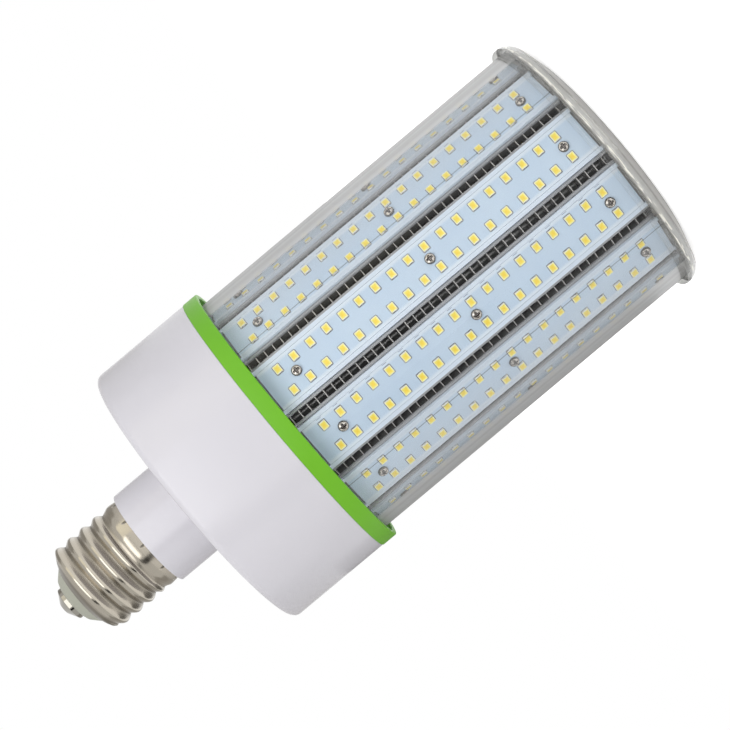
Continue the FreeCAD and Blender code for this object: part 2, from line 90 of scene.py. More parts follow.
# Clear tube and end cap
TUBE_WALL = 2.0 * MM
# Where the painted reflection lines run on the tube's outer face
REFLECTION_LINE_ANGLE = math.radians(34.8)
REFLECTION_LINE_HALF_ANGLE = 0.0022
REFLECTION_LINE_FADE_ANGLE = 0.0050
CAP_WALL = 2.2 * MM
CAP_FACE_INSET = 13.4 * MM
CAP_RIM_RISE = 4.1 * MM
CAP_RIM_WIDTH = 12.2 * MM
CAP_RIM_THICKENING = 2.0 * MM
CAP_KEYS = 4
CAP_FIRST_KEY_ANGLE = 60
CAP_KEY_DEPTH = 2.4 * MM
CAP_KEY_HALF_WIDTH = 1.8 * MM
CAP_KEY_HEIGHT = 7.6 * MM

# Screw shell, and the insulator and the contact in it; heights count from the skirt's foot
THREAD_PITCH = 6.35 * MM
THREAD_DEPTH = 1.75 * MM
THREAD_START = 6.6 * MM
THREAD_FADE = 2.4 * MM
THREAD_END_BELOW_LIP = 1.2 * MM
FIRST_CREST = 9.6 * MM
FIRST_THREAD_ROW = 8.0 * MM
LAST_THREAD_ROW = 31.2 * MM
SHELL_WALL = 0.6 * MM
SHELL_LIP_WIDTH = 4.3 * MM
RIVET_RADIUS = 2.6 * MM
PUNCH_MARKS = 10
PUNCH_ANGLE = math.radians(35.0)
PUNCH_WIDTH = 0.7 * MM
PUNCH_LENGTH = 1.3 * MM
PUNCH_HEIGHT = 0.9 * MM

# Fineness of the turned pieces, and of their rounded corners
AROUND = 192
SHELL_AROUND = 160
CONTACT_AROUND = 96
THREAD_ROWS = 110
ROUND_STEPS = 8

# The viewpoint of the photograph: the lamp stands on its cap, and the camera is rolled
CAMERA_PLACE = (840.54 * MM, 18.25 * MM, 110.31 * MM)
CAMERA_AIM = (0.0, -2.50 * MM, 125.25 * MM)
CAMERA_ROLL = 129.94
LENS = 106.82
SENSOR = 36.0

WHITE = (1.0, 1.0, 1.0, 1.0)


def panel_angle(index):
    """Direction that a board faces, in radians."""
    return 2 * math.pi / PANELS * (index + 0.5)


def node_names(stem):
    """Names of the twelve nodes of one kind."""
    return [f"{stem}_{i + 1:02d}" for i in range(PANELS)]


# Sizes read from the frame
cap_low, cap_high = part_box("end_cap")
tube_low, tube_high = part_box("cover_tube")
collar_low, collar_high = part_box("collar_ring")
drum_low, drum_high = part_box("driver_housing")
shell_low, shell_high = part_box("screw_shell")
insulator_low, insulator_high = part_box("base_insulator")
contact_low, contact_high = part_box("contact_button")
fins_low, fins_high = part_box("cooling_fins")
bar_low, bar_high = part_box("heat_sink_bar_01")
CAP_RADIUS = cap_high.x
TUBE_RADIUS = tube_high.x
TUBE_BORE = TUBE_RADIUS - TUBE_WALL
BOARD_FACE = TUBE_BORE - TUBE_TO_BOARD_GAP
BAR_BACK = BOARD_FACE - BAR_DEPTH
COLLAR_RADIUS = collar_high.x
DRUM_RADIUS = drum_high.x
SHELL_CREST = shell_high.x
SHELL_ROOT = SHELL_CREST - THREAD_DEPTH
SHELL_LIP_RADIUS = SHELL_ROOT - SHELL_LIP_WIDTH
FIRST_LED = bar_low.z + FIRST_LED_ABOVE_BAR_START


# Shader nodes

def add(tree, kind, settings=None, **inputs):
    """A node with its settings, and its inputs by name or as i0, i1: each a value or an output to link."""
    node = tree.nodes.new(kind)
    for key, value in (settings or {}).items():
        setattr(node, key, value)
    for key, value in inputs.items():
        numbered = key[0] == "i" and key[1:].isdigit()
        socket = node.inputs[int(key[1:]) if numbered else key.replace("_", " ")]
        if isinstance(value, bpy.types.NodeSocket):
            tree.links.new(value, socket)
        else:
            socket.default_value = value
    return node


def new_material(name):
    """An empty node material and its tree."""
    material = bpy.data.materials.new(name)
    material.use_nodes = True
    material.node_tree.nodes.clear()
    return material, material.node_tree


def finish_material(material, shader):
    """Joins a shader to the material's output, and hands the material back."""
    add(material.node_tree, "ShaderNodeOutputMaterial", Surface=shader.outputs[0])
    return material


def math_node(tree, operation, a, b=0.0):
    """The result of one calculation, where a and b are numbers or outputs."""
    return add(tree, "ShaderNodeMath", {"operation": operation}, i0=a, i1=b).outputs[0]


def plus(tree, a, b):
    return math_node(tree, "ADD", a, b)


def minus(tree, a, b):
    return math_node(tree, "SUBTRACT", a, b)


def times(tree, a, b):
    return math_node(tree, "MULTIPLY", a, b)


def divided(tree, a, b):
    return math_node(tree, "DIVIDE", a, b)


def remap(tree, value, start, end, low=0.0, high=1.0, kind="LINEAR"):
    """Maps start to end onto low to high, and holds the ends."""
    return add(
        tree, "ShaderNodeMapRange", {"interpolation_type": kind}, Value=value,
        From_Min=start, From_Max=end, To_Min=low, To_Max=high,
    ).outputs[0]


def spread(tree, value, low, high):
    """Maps a noise's middle range onto low to high."""
    return remap(tree, value, 0.3, 0.7, low, high)


def object_place(tree):
    """Where a point lies on the lamp."""
    return add(tree, "ShaderNodeTexCoord").outputs["Object"]


def drawn_place(tree, along):
    """The same with Z multiplied: below 1, a pattern is drawn out along the lamp."""
    stretch = (1.0, 1.0, along)
    return add(tree, "ShaderNodeMapping", Vector=object_place(tree), Scale=stretch).outputs["Vector"]


def split(tree, vector):
    """The outputs X, Y and Z of a vector."""
    return add(tree, "ShaderNodeSeparateXYZ", Vector=vector).outputs


def join(tree, **parts):
    """A vector from its X, Y and Z, of which those left out are 0."""
    return add(tree, "ShaderNodeCombineXYZ", **parts).outputs[0]


def out_from_axis(tree, parts):
    """The vector from the lamp's axis level out to a point."""
    return join(tree, X=parts["X"], Y=parts["Y"])


def vector_math(tree, operation, vector, **more):
    """The outputs of one calculation on a vector or a colour."""
    return add(tree, "ShaderNodeVectorMath", {"operation": operation}, i0=vector, **more).outputs


def length(tree, vector):
    return vector_math(tree, "LENGTH", vector)["Value"]


def unit_vector(tree, vector):
    return vector_math(tree, "NORMALIZE", vector)[0]


def scaled(tree, vector, amount):
    """A vector made longer, or a colour made darker, by one number."""
    return vector_math(tree, "SCALE", vector, Scale=amount)[0]


def angle_round_lamp(tree, parts):
    """Angle of a point about the lamp's axis, from +X."""
    return math_node(tree, "ARCTAN2", parts["Y"], parts["X"])


def angle_in_share(tree, parts, shares):
    """Angle round the lamp from the start of the share that a point is in, of so many equal ones."""
    return math_node(tree, "FLOORED_MODULO", angle_round_lamp(tree, parts), 2 * math.pi / shares)


def noise(tree, scale, detail=2.0, coordinates=None):
    """A soft random field, on the lamp's own coordinates unless others are given."""
    place = coordinates or object_place(tree)
    return add(tree, "ShaderNodeTexNoise", Vector=place, Scale=scale, Detail=detail).outputs["Fac"]


def bump(tree, height, strength, distance):
    """A normal that leans as if the surface had this height."""
    return add(tree, "ShaderNodeBump", Height=height, Strength=strength, Distance=distance).outputs[0]


def ramp(tree, factor, stops):
    """A colour ramp from (position, colour) stops, where a single number is a grey."""
    node = add(tree, "ShaderNodeValToRGB", Fac=factor)
    elements = node.color_ramp.elements
    while len(elements) < len(stops):
        elements.new(0.5)
    for element, (position, colour) in zip(elements, stops):
        element.position = position
        element.color = (*(colour if isinstance(colour, tuple) else [colour] * 3), 1.0)
    return node.outputs["Color"]


def clouded(tree, scale, colour, vary):
    """A colour that is a little darker and a little paler in clouds."""
    stops = [(position, tuple(channel * factor for channel in colour))
             for position, factor in ((0.3, 1 - vary), (0.7, 1 + vary))]
    return ramp(tree, noise(tree, scale), stops)


def mix_colours(tree, share, first, second):
    """The first colour where the share is 0, and the second where it is 1."""
    return add(tree, "ShaderNodeMix", {"data_type": "RGBA"}, i0=share, i6=first, i7=second).outputs[2]


def mix_shaders(tree, share, first, second):
    """The same for two shaders."""
    return add(tree, "ShaderNodeMixShader", Fac=share, i1=first.outputs[0], i2=second.outputs[0])


def principled(tree, **inputs):
    """The shader of every plastic and metal, with its sockets by name."""
    return add(tree, "ShaderNodeBsdfPrincipled", **inputs)


# Plastics and metals

def moulded_plastic(name, colour, roughness, vary=0.03, grain=900.0, grain_depth=0.01, shine=0.5):
    """Smooth moulded plastic: faint clouding in its colour, and a fine grain in its gloss and surface."""
    material, tree = new_material(name)
    grain_field = noise(tree, grain, 3.0)
    return finish_material(material, principled(
        tree, Base_Color=clouded(tree, 28.0, colour, vary), Specular_IOR_Level=shine,
        Roughness=spread(tree, grain_field, roughness * 0.9, roughness * 1.1),
        Normal=bump(tree, grain_field, 0.15, grain_depth * MM),
    ))


def metal(name, colour, roughness, grain):
    """Metal with its grain drawn out along the lamp's axis."""
    material, tree = new_material(name)
    streaks = noise(tree, grain, 3.0, drawn_place(tree, 0.04))
    return finish_material(material, principled(
        tree, Base_Color=clouded(tree, 35.0, colour, 0.06), Metallic=1.0,
        Roughness=spread(tree, streaks, roughness * 0.8, roughness * 1.2),
        Normal=bump(tree, streaks, 0.12, 0.02 * MM),
    ))


def punch_marks(tree, parts):
    """Small dents in the skirt, even steps apart: 0 in the middle of each and 1 outside them."""
    turned = minus(tree, angle_in_share(tree, parts, PUNCH_MARKS), PUNCH_ANGLE)
    across = divided(tree, times(tree, turned, SHELL_CREST), PUNCH_WIDTH)
    along = divided(tree, minus(tree, parts["Z"], shell_low.z + PUNCH_HEIGHT), PUNCH_LENGTH)
    return remap(tree, length(tree, join(tree, X=across, Y=along)), 0.4, 1.3, kind="SMOOTHSTEP")


def nickel_material():
    """Nickel plate on the rolled shell: rougher in the grooves and darkened there by painted shade, with
    punch marks that hold it to the neck and painted shade in their dents.
    """
    material, tree = new_material("nickel_plated_sheet")
    parts = split(tree, object_place(tree))
    height = remap(tree, length(tree, out_from_axis(tree, parts)), SHELL_ROOT, SHELL_CREST)
    # Painted shade: the base colour darkens from the crests down into the grooves.
    groove_shade = ramp(tree, height, [
        (0.0, (0.20, 0.18, 0.15)), (0.10, (0.28, 0.255, 0.21)),
        (0.5, (0.38, 0.345, 0.29)), (1.0, (0.38, 0.35, 0.295)),
    ])
    gloss_loss = remap(tree, height, 0.1, 0.8, 0.36, 0.17)
    streaks = noise(tree, 160.0, 3.0, drawn_place(tree, 6.0))
    dent = punch_marks(tree, parts)
    surface = plus(tree, dent, times(tree, streaks, 0.02))
    # Painted shade: the base colour darkens in the middle of each punch mark.
    dent_shade = remap(tree, dent, 0.0, 1.0, 0.35, 1.0)
    return finish_material(material, principled(
        tree, Base_Color=scaled(tree, groove_shade, dent_shade), Metallic=1.0,
        Roughness=plus(tree, gloss_loss, spread(tree, streaks, -0.03, 0.03)),
        Normal=bump(tree, surface, 0.6, 0.35 * MM),
    ))


def screw_material():
    """Plated screw by its own UV map: bright head, with painted shade that darkens it in the cross recess and
    round the rim.
    """
    material, tree = new_material("plated_screw")
    parts = split(tree, add(tree, "ShaderNodeUVMap", {"uv_map": "head"}).outputs["UV"])
    # Painted shade: darker in the cross recess and round the rim of the head.
    recess = ramp(tree, parts["X"], [(0.15, (0.46, 0.435, 0.40)), (0.60, (0.17, 0.155, 0.145))])
    rim = ramp(tree, parts["Y"], [(0.70, 1), (0.95, (0.45, 0.43, 0.41))])
    tint = vector_math(tree, "MULTIPLY", recess, i1=rim)[0]
    return finish_material(material, principled(
        tree, Base_Color=tint, Metallic=1.0,
        Roughness=spread(tree, noise(tree, 900.0), 0.18, 0.32),
    ))


# Clear plastics

def see_through_film(tree, tint, normal, roughness, amount=1.0):
    """Thin clear plastic: what is behind it, under a gloss that grows towards a glancing angle."""
    see_through = add(tree, "ShaderNodeBsdfTransparent", Color=tint)
    gloss = add(
        tree, "ShaderNodeBsdfGlossy", Color=(0.75, 0.75, 0.75, 1.0), Roughness=roughness, Normal=normal,
    )
    fresnel = add(tree, "ShaderNodeFresnel", IOR=1.42, Normal=normal).outputs[0]
    share = times(tree, math_node(tree, "MINIMUM", fresnel, 0.16), amount)
    return mix_shaders(tree, share, see_through, gloss)


def facing_sideways(tree, **normal):
    """Cosine of the angle to the eye, measured round the lamp alone: looking down changes nothing."""
    across = add(tree, "ShaderNodeLayerWeight", Blend=0.5, **normal).outputs["Facing"]
    down = add(tree, "ShaderNodeLayerWeight", Blend=0.5, Normal=join(tree, Z=1.0)).outputs["Facing"]
    dip = minus(tree, 1.0, down)
    level = math_node(tree, "SQRT", minus(tree, 1.0, times(tree, dip, dip)))
    return divided(tree, minus(tree, 1.0, across), math_node(tree, "MAXIMUM", level, 0.05))


def wall_seen_through(tree, normal):
    """How much wall the eye looks through, from 0 where the wall faces it to 1 where it is edge-on."""
    return minus(tree, 1.0, math_node(tree, "POWER", facing_sideways(tree, Normal=normal), 0.7))


def reflection_lines(tree, parts, inside):
    """Two fine painted reflection lines along the outer face that darken the tube a little: 1 beside them."""
    angle = math_node(tree, "ARCTAN2", math_node(tree, "ABSOLUTE", parts["Y"]), parts["X"])
    away = math_node(tree, "ABSOLUTE", minus(tree, angle, REFLECTION_LINE_ANGLE))
    return remap(tree, plus(tree, away, inside), REFLECTION_LINE_HALF_ANGLE, REFLECTION_LINE_FADE_ANGLE, 0.60, 1.0)


def painted_edge_wall(tree, drawn, turned_away):
    """The tube's wall by itself, as painted reflection: pale in front, and streaky grey with a soft shine
    where it is edge-on.
    """
    streak = noise(tree, 260.0, 2.0, drawn)
    edge_reflection_tint = ramp(tree, streak, [(0.35, 0.53), (0.65, 0.63)])
    painted_edge_share = remap(tree, turned_away, 0.50, 0.60)
    wall_tint = mix_colours(tree, painted_edge_share, (0.92, 0.93, 0.94, 1.0), edge_reflection_tint)
    matt = add(tree, "ShaderNodeBsdfDiffuse", Color=wall_tint)
    shine = add(tree, "ShaderNodeBsdfGlossy", Color=(0.7, 0.7, 0.7, 1.0), Roughness=0.25)
    return mix_shaders(tree, times(tree, painted_edge_share, 0.28), matt, shine)


def clear_tube_material():
    """Clear extruded tube: greyed by painted reflection where its wall turns edge-on, with faint draw lines
    and two painted reflection lines.
    """
    material, tree = new_material("clear_tube_plastic")
    drawn = drawn_place(tree, 0.01)
    normal = bump(tree, noise(tree, 420.0, 2.0, drawn), 0.25, 0.02 * MM)
    # Painted reflection: the see-through tint greys where the wall turns edge-on.
    tint = ramp(tree, wall_seen_through(tree, normal), [
        (0.0, 0.995), (0.16, 0.985), (0.30, 0.95),
        (0.46, 0.86), (0.70, (0.76, 0.76, 0.755)), (1.0, (0.60, 0.60, 0.59)),
    ])
    parts = split(tree, object_place(tree))
    radius = length(tree, out_from_axis(tree, parts))
    inside = math_node(tree, "LESS_THAN", radius, (TUBE_RADIUS + TUBE_BORE) / 2)
    outside = minus(tree, 1.0, inside)
    # Painted reflection: two fine lines darken the see-through tint.
    tint = scaled(tree, tint, reflection_lines(tree, parts, inside))
    film = see_through_film(tree, tint, normal, 0.06, times(tree, outside, 0.7))
    turned_away = minus(tree, 1.0, facing_sideways(tree))
    # Painted reflection: the grey matt wall takes over where the tube turns edge-on.
    painted_wall_share = ramp(tree, turned_away, [(0.14, 0), (0.27, 0.09), (0.575, 0.18), (0.605, 0.80), (1.0, 0.92)])
    wall = painted_edge_wall(tree, drawn, turned_away)
    return finish_material(material, mix_shaders(tree, times(tree, painted_wall_share, outside), film, wall))


def cap_body(tree, height, ripple, normal):
    """The cap's thick wall, frosted near its outer face, with a painted dark line where its slope turns into
    its side and a painted shadow where the boards end.
    """
    # Painted shade: the dark stop near 0.36 is a painted line at the rim's bend, and the one near 0.67 a
    # painted shadow where the boards end.
    tint = ramp(tree, height, [
        (0.00, (0.78, 0.77, 0.74)), (0.31, (0.82, 0.81, 0.78)), (0.36, (0.30, 0.29, 0.28)),
        (0.41, (0.86, 0.85, 0.82)), (0.60, (0.78, 0.77, 0.74)), (0.67, (0.34, 0.33, 0.31)),
    ])
    clear = principled(
        tree, Base_Color=tint, IOR=1.47, Transmission_Weight=0.62,
        Roughness=spread(tree, ripple, 0.08, 0.2), Normal=normal,
    )
    frost_tint = ramp(tree, height, [
        (0.0, (0.50, 0.49, 0.47)), (0.10, (0.60, 0.59, 0.57)), (0.30, (0.52, 0.51, 0.49)),
    ])
    roughness = spread(tree, ripple, 0.4, 0.5)
    frosted = principled(tree, Base_Color=frost_tint, Specular_IOR_Level=0.2, Roughness=roughness)
    return mix_shaders(tree, remap(tree, height, 0.30, 0.37, 0.75, 0.0), clear, frosted)


def cap_glints(tree, height, ripple, normal, body):
    """The body with a broken line of pale painted glints round it."""
    band = ramp(tree, height, [(0.52, 0), (0.56, 1), (0.61, 1), (0.65, 0)])
    broken = remap(tree, ripple, 0.47, 0.55)
    glint = principled(tree, Base_Color=(1.0, 0.98, 0.88, 1.0), Roughness=0.25, Normal=normal)
    return mix_shaders(tree, times(tree, times(tree, band, broken), 0.85), body, glint)


def clear_cap_material():
    """Moulded clear plastic: greyish in the thick rim, with broken painted glints round it, and clear at the
    lip, which painted reflection greys where it turns edge-on.
    """
    material, tree = new_material("clear_cap_plastic")
    parts = split(tree, object_place(tree))
    height = divided(tree, parts["Z"], cap_high.z)
    angle = times(tree, angle_round_lamp(tree, parts), 7.0)
    ripple = noise(tree, 1.4, 2.0, join(tree, X=angle, Y=times(tree, height, 12.0)))
    normal = bump(tree, ripple, 0.3, 0.15 * MM)
    rim = cap_glints(tree, height, ripple, normal, cap_body(tree, height, ripple, normal))
    outward = unit_vector(tree, out_from_axis(tree, parts))
    # Painted reflection: the lip's see-through tint greys where it turns edge-on.
    lip_tint = ramp(tree, wall_seen_through(tree, outward), [
        (0.0, (0.99, 0.99, 0.985)), (0.2, (0.97, 0.97, 0.965)),
        (0.45, (0.84, 0.84, 0.83)), (0.8, (0.60, 0.60, 0.59)),
    ])
    lip = see_through_film(tree, lip_tint, normal, 0.08)
    whole = mix_shaders(tree, remap(tree, height, 0.69, 0.73, kind="SMOOTHSTEP"), rim, lip)
    shade = add(tree, "ShaderNodeBsdfTransparent", Color=(0.75, 0.75, 0.74, 1.0))
    in_shadow = add(tree, "ShaderNodeLightPath").outputs["Is Shadow Ray"]
    return finish_material(material, mix_shaders(tree, in_shadow, whole, shade))


# Boards, bars and what shows between them

def board_place(tree):
    """Where a point lies on its bar: outward from the lamp's axis, and across the bar from its middle."""
    parts = split(tree, object_place(tree))
    turned = minus(tree, angle_in_share(tree, parts, PANELS), math.pi / PANELS)
    radius = length(tree, out_from_axis(tree, parts))
    outward = times(tree, radius, math_node(tree, "COSINE", turned))
    across = times(tree, radius, math_node(tree, "SINE", turned))
    return outward, across


def bar_material():
    """Satin extrusion: pale on its lips like the boards, and darkened by painted shade down in the slots
    between the bars.
    """
    material, tree = new_material("satin_bar")
    outward, _ = board_place(tree)
    depth = divided(tree, minus(tree, BOARD_FACE, outward), BAR_DEPTH)
    # Painted shade: the colour darkens with depth below the bars' faces.
    tint = ramp(tree, depth, [
        (0.0, (0.70, 0.79, 0.89)), (0.14, (0.66, 0.74, 0.83)),
        (0.24, 0.27), (0.6, (0.12, 0.12, 0.118)), (1.0, (0.05, 0.05, 0.048)),
    ])
    grain = noise(tree, 700.0)
    return finish_material(material, principled(
        tree, Base_Color=tint, Roughness=spread(tree, grain, 0.34, 0.42),
        Normal=bump(tree, grain, 0.12, 0.01 * MM),
    ))


def liner_material():
    """Fine expanded sheet round the core: metal strands kept dark as painted shade deep in the core, with
    open mesh between them.
    """
    material, tree = new_material("shaded_open_mesh_liner")
    parts = split(tree, object_place(tree))
    around = times(tree, angle_round_lamp(tree, parts), LINER_MESH_AROUND)
    along = times(tree, parts["Z"], 2 * math.pi / LINER_MESH_PITCH)
    weave = times(tree, math_node(tree, "SINE", around), math_node(tree, "SINE", along))
    cloud = noise(tree, 120.0)
    # Painted shade: the strands are dark for the shade deep inside the core.
    strand = principled(
        tree, Metallic=1.0, Roughness=spread(tree, cloud, 0.5, 0.6),
        Base_Color=ramp(tree, cloud, [(0.3, (0.10, 0.095, 0.09)), (0.7, (0.14, 0.135, 0.125))]),
    )
    opening = add(tree, "ShaderNodeBsdfTransparent", Color=(0.86, 0.85, 0.82, 1.0))
    open_share = remap(tree, weave, -0.45, -0.15, 0.15, 0.90)
    return finish_material(material, mix_shaders(tree, open_share, strand, opening))


def led_board_material():
    """Cool white solder mask with faint clouding, a painted highlight that makes it paler towards the board's
    edges, and a satin shine.
    """
    material, tree = new_material("led_board_mask")
    cloud = noise(tree, 45.0, 3.0)
    middle_tint = ramp(tree, cloud, [(0.3, (0.55, 0.68, 0.825)), (0.7, (0.585, 0.71, 0.84))])
    _, across = board_place(tree)
    off_middle = math_node(tree, "ABSOLUTE", across)
    # Painted highlight: the board turns paler towards its long edges.
    painted_edge_share = remap(tree, off_middle, BOARD_EDGE_HIGHLIGHT_START, BOARD_EDGE_HIGHLIGHT_END, kind="SMOOTHSTEP")
    tint = mix_colours(tree, painted_edge_share, middle_tint, (0.72, 0.81, 0.90, 1.0))
    grain = noise(tree, 1500.0)
    return finish_material(material, principled(
        tree, Base_Color=tint, Roughness=spread(tree, grain, 0.30, 0.40),
        Normal=bump(tree, grain, 0.1, 0.01 * MM),
    ))


def led_package_material():
    """One package by its own UV map: phosphor in the middle, pale rim, and dark round the foot, partly solder
    and partly painted shadow.
    """
    material, tree = new_material("led_package_plastic")
    parts = split(tree, add(tree, "ShaderNodeUVMap", {"uv_map": "package"}).outputs["UV"])
    across, along = (math_node(tree, "ABSOLUTE", parts[axis]) for axis in "XY")
    cloud = noise(tree, 700.0)
    reach = plus(
        tree, math_node(tree, "MAXIMUM", across, along), times(tree, minus(tree, cloud, 0.5), 0.10),
    )
    tint = ramp(tree, reach, [
        (0.00, (1.0, 0.74, 0.07)), (0.34, (1.0, 0.79, 0.11)),
        (0.56, (1.0, 0.87, 0.22)), (0.70, (1.0, 0.93, 0.42)),
        (0.77, (0.96, 0.95, 0.82)), (0.85, (0.86, 0.86, 0.80)),
        # The dark foot: solder, with painted shadow round the package.
        (0.875, (0.11, 0.10, 0.095)), (1.00, (0.13, 0.14, 0.16)),
    ])
    return finish_material(material, principled(
        tree, Base_Color=tint, Roughness=spread(tree, cloud, 0.35, 0.5),
    ))


# Mesh helpers

def rounded(corners):
    """Outline points from corners given as (radius, z) or (radius, z, rounding), with arcs where rounded."""
    points = []
    count = len(corners)
    for i, corner in enumerate(corners):
        here = Vector(corner[:2])
        if len(corner) == 2:
            points.append(here)
            continue
        back = (Vector(corners[i - 1][:2]) - here).normalized()
        ahead = (Vector(corners[(i + 1) % count][:2]) - here).normalized()
        half = back.angle(ahead) / 2
        reach = corner[2] / math.tan(half)
        centre = here + (back + ahead).normalized() * (corner[2] / math.sin(half))
        start = here + back * reach - centre
        sweep = (math.pi - 2 * half) * (1 if start.cross(here + ahead * reach - centre) > 0 else -1)
        for step in range(ROUND_STEPS + 1):
            points.append(centre + Matrix.Rotation(sweep * step / ROUND_STEPS, 2) @ start)
    return points


def linked_object(name, data):
    """An object at the world's origin, in the scene."""
    made = bpy.data.objects.new(name, data)
    bpy.context.scene.collection.objects.link(made)
    return made


def finish_mesh(name, shape, material, sharp_angle=32.0):
    """An object from a bmesh: doubles merged, normals outwards, smooth between sharp edges."""
    bmesh.ops.remove_doubles(shape, verts=shape.verts, dist=1e-6)
    bmesh.ops.recalc_face_normals(shape, faces=shape.faces)
    mesh = bpy.data.meshes.new(name)
    shape.to_mesh(mesh)
    shape.free()
    mesh.shade_smooth()
    mesh.set_sharp_from_angle(angle=math.radians(sharp_angle))
    mesh.materials.append(material)
    return linked_object(name, mesh)


def ring_faces(shape, lower, upper):
    """Faces between two rings of points, where either ring may be a single point."""
    count = max(len(lower), len(upper))
    for k in range(count):
        k_next = (k + 1) % count
        corners = [
            lower[k % len(lower)], lower[k_next % len(lower)],
            upper[k_next % len(upper)], upper[k % len(upper)],
        ]
        shape.faces.new(list(dict.fromkeys(corners)))


def turn(outline, around=AROUND):
    """A bmesh of a closed outline turned about the lamp's axis. Points on the axis close to a pole."""
    shape = bmesh.new()
    angles = [2 * math.pi * k / around for k in range(around)]
    rings = []
    for radius, z in outline:
        if radius < 1e-9:
            rings.append([shape.verts.new((0, 0, z))])
        else:
            places = [(radius * math.cos(angle), radius * math.sin(angle), z) for angle in angles]
            rings.append([shape.verts.new(place) for place in places])
    for ring, after in zip(rings, rings[1:] + rings[:1]):
        if len(ring) > 1 or len(after) > 1:
            ring_faces(shape, ring, after)
    return shape


def add_block(shape, low, high, turn_angle=0.0, bevel=0.0):
    """Adds a block with rounded edges to a bmesh, turned about the lamp's axis."""
    made = bmesh.ops.create_cube(shape, size=1.0)["verts"]
    middle = (Vector(low) + Vector(high)) / 2
    size = Vector(high) - Vector(low)
    place = Matrix.Translation(middle) @ Matrix.Diagonal((*size, 1.0))
    place = Matrix.Rotation(turn_angle, 4, "Z") @ place
    bmesh.ops.transform(shape, matrix=place, verts=made)
    if bevel:
        edges = list({edge for vert in made for edge in vert.link_edges})
        bmesh.ops.bevel(shape, geom=edges, offset=bevel, segments=2, profile=0.5, affect="EDGES")


def place_piece(piece, slot, *nodes):
    """Rides the piece and hides the nodes that it stands for; the slot is not used."""
    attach(piece, BODY)
    if nodes:
        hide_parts(*nodes)


def dress(material, *names):
    """Gives the nodes with these names their finish."""
    for name in names:
        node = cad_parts[name]
        if not node.material_slots:
            node.data.materials.append(material)
        for material_slot in node.material_slots:
            material_slot.material = material


# Geometry node trees

def new_geometry_tree(name, labels):
    """A geometry tree with named inputs, the inputs' identifiers, and their sockets in the tree."""
    tree = bpy.data.node_groups.new(name, "GeometryNodeTree")
    interface = tree.interface
    interface.new_socket("Geometry", in_out="OUTPUT", socket_type="NodeSocketGeometry")
    ids = {}
    for label, kind in labels.items():
        socket = interface.new_socket(label, in_out="INPUT", socket_type="NodeSocket" + kind)
        ids[label] = socket.identifier
    return tree, ids, tree.nodes.new("NodeGroupInput").outputs


def finish_geometry_tree(tree, geometry, finish):
    """Ends a tree with real meshes in their finish."""
    real = add(tree, "GeometryNodeRealizeInstances", Geometry=geometry)
    finished = add(tree, "GeometryNodeSetMaterial", Geometry=real.outputs[0], Material=finish)
    out = tree.nodes.new("NodeGroupOutput")
    tree.links.new(finished.outputs[0], out.inputs[0])


def ring_array_tree():
    """Copies of one item: so many round the lamp, so many along it, and one or two side by side."""
    tree, ids, given = new_geometry_tree("ring_array", {
        "Item": "Object", "Finish": "Material", "Around": "Int", "Along": "Int", "Across": "Int",
        "First angle": "Float", "Radius": "Float", "First height": "Float", "Pitch": "Float",
        "Spread": "Float",
    })
    per_side = times(tree, given["Along"], given["Across"])
    count = times(tree, per_side, given["Around"])
    index = tree.nodes.new("GeometryNodeInputIndex").outputs[0]
    side = math_node(tree, "FLOOR", divided(tree, index, per_side))
    within = math_node(tree, "MODULO", index, per_side)
    row = math_node(tree, "FLOOR", divided(tree, within, given["Across"]))
    column = math_node(tree, "MODULO", within, given["Across"])
    step = divided(tree, 2 * math.pi, given["Around"])
    angle = plus(tree, times(tree, side, step), given["First angle"])
    middle = divided(tree, minus(tree, given["Across"], 1.0), 2.0)
    sideways = times(tree, minus(tree, column, middle), given["Spread"])
    height = plus(tree, times(tree, row, given["Pitch"]), given["First height"])
    local = join(tree, X=given["Radius"], Y=sideways, Z=height)
    place = add(tree, "ShaderNodeVectorRotate", {"rotation_type": "Z_AXIS"}, Vector=local, Angle=angle)
    points = add(tree, "GeometryNodePoints", Count=count, Position=place.outputs[0]).outputs[0]
    item = add(tree, "GeometryNodeObjectInfo", Object=given["Item"]).outputs["Geometry"]
    copies = add(
        tree, "GeometryNodeInstanceOnPoints", Points=points, Instance=item, Rotation=join(tree, Z=angle),
    )
    finish_geometry_tree(tree, copies.outputs[0], given["Finish"])
    return tree, ids


def thread_tree():
    """Rolls a right-hand thread into a turned shell by moving its wall outwards along a helix."""
    tree, ids, given = new_geometry_tree("rolled_thread", {
        "Geometry": "Geometry", "Finish": "Material", "Pitch": "Float", "Depth": "Float",
        "Crest height": "Float", "Start": "Float", "End": "Float", "Fade": "Float",
    })
    parts = split(tree, tree.nodes.new("GeometryNodeInputPosition").outputs[0])
    lift = divided(tree, minus(tree, parts["Z"], given["Crest height"]), given["Pitch"])
    phase = minus(tree, times(tree, lift, 2 * math.pi), angle_round_lamp(tree, parts))
    wave = times(tree, plus(tree, math_node(tree, "COSINE", phase), 1.0), 0.5)
    ridge = times(tree, math_node(tree, "POWER", wave, 0.75), given["Depth"])
    risen = plus(tree, given["Start"], given["Fade"])
    falling = minus(tree, given["End"], given["Fade"])
    rise = remap(tree, parts["Z"], given["Start"], risen, kind="SMOOTHSTEP")
    fall = remap(tree, parts["Z"], given["End"], falling, kind="SMOOTHSTEP")
    outward = unit_vector(tree, out_from_axis(tree, parts))
    offset = scaled(tree, outward, times(tree, ridge, times(tree, rise, fall)))
    moved = add(tree, "GeometryNodeSetPosition", Geometry=given["Geometry"], Offset=offset)
    finish_geometry_tree(tree, moved.outputs[0], given["Finish"])
    return tree, ids


RING_ARRAY = ring_array_tree()


